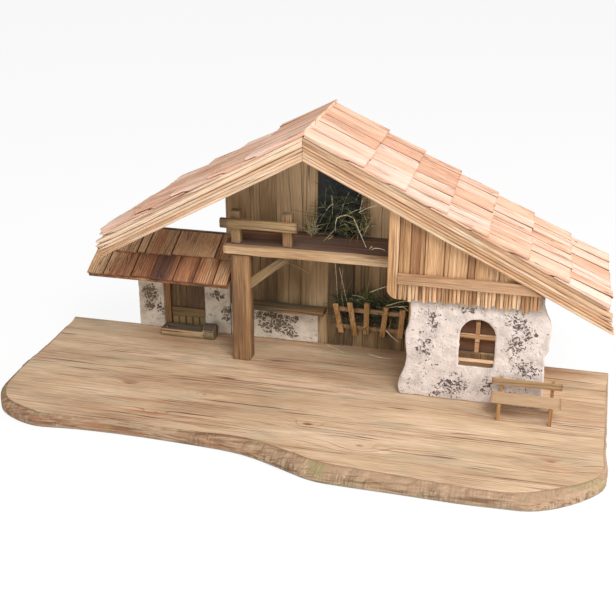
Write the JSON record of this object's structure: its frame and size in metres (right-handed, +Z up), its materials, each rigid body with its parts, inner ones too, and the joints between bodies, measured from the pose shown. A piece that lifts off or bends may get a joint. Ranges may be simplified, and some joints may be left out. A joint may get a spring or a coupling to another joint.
{
  "type": "nativity stable",
  "caption": "Free-standing wooden nativity stable: carved floor board, shingled gable roof over an open loft and a plastered house with an arched window, and a low annex under a canopy.",
  "frame": {"origin": "on the underside of the floor board, in the middle of its width and depth", "axes": "+X along the floor board to the right as seen from the front, +Y to the back, +Z up"},
  "size_m": [0.72, 0.352, 0.3327],
  "materials": {
    "pine": "smooth planed pine, brushed and lightly varnished",
    "stained_pine": "brushed pine stained grey-brown, matt",
    "bench_pine": "sawn pine stained honey brown, matt",
    "canopy_pine": "split shingles with open brown grain, matt",
    "shingle_pine": "split pale pinkish pine with raised grain, matt",
    "dark_board": "dark stained board, matt",
    "plaster": "board coated with rough off-white plaster, dabbed with brown and grey",
    "hay": "loose dried grass, matt"
  },
  "bodies": {
    "root": {"annex_wall": "plaster", "back_wall_annex": "stained_pine", "back_wall_house": "stained_pine", "back_wall_loft": "stained_pine", "base_board": "pine", "bench_back": "bench_pine", "bench_leg_left": "bench_pine", "bench_leg_right": "bench_pine", "bench_seat": "bench_pine", "canopy_board": "canopy_pine", "canopy_course_1": "canopy_pine", "canopy_course_2": "canopy_pine", "door_post": "bench_pine", "gable_batten": "pine", "gable_board": "pine", "half_door": "bench_pine", "house_front_wall": "plaster", "house_side_left": "plaster", "house_side_right": "plaster", "knee_brace": "bench_pine", "left_course_1": "shingle_pine", "left_course_2": "shingle_pine", "left_course_3": "shingle_pine", "left_course_4": "shingle_pine", "left_course_5": "shingle_pine", "loft_beam": "bench_pine", "loft_door_panel": "dark_board", "loft_floor": "stained_pine", "loft_hay": "hay", "loft_post": "bench_pine", "loft_rail": "bench_pine", "log_trough": "stained_pine", "low_wall": "plaster", "low_wall_shelf": "stained_pine", "rack_hay": "hay", "rack_rail_lower": "bench_pine", "rack_rail_upper": "bench_pine", "rack_slat_1": "bench_pine", "rack_slat_2": "bench_pine", "rack_slat_3": "bench_pine", "rack_slat_4": "bench_pine", "rack_slat_5": "bench_pine", "rail_post_left": "bench_pine", "rail_post_right": "bench_pine", "right_course_1": "shingle_pine", "right_course_2": "shingle_pine", "right_course_3": "shingle_pine", "right_course_4": "shingle_pine", "right_course_5": "shingle_pine", "right_course_6": "shingle_pine", "right_course_7": "shingle_pine", "roof_board_left": "shingle_pine", "roof_board_right": "shingle_pine", "verge_lower_left": "shingle_pine", "verge_lower_right": "shingle_pine", "verge_upper_left": "shingle_pine", "verge_upper_right": "shingle_pine", "window_cross": "bench_pine", "window_panel": "dark_board"}
  },
  "joints": []
}
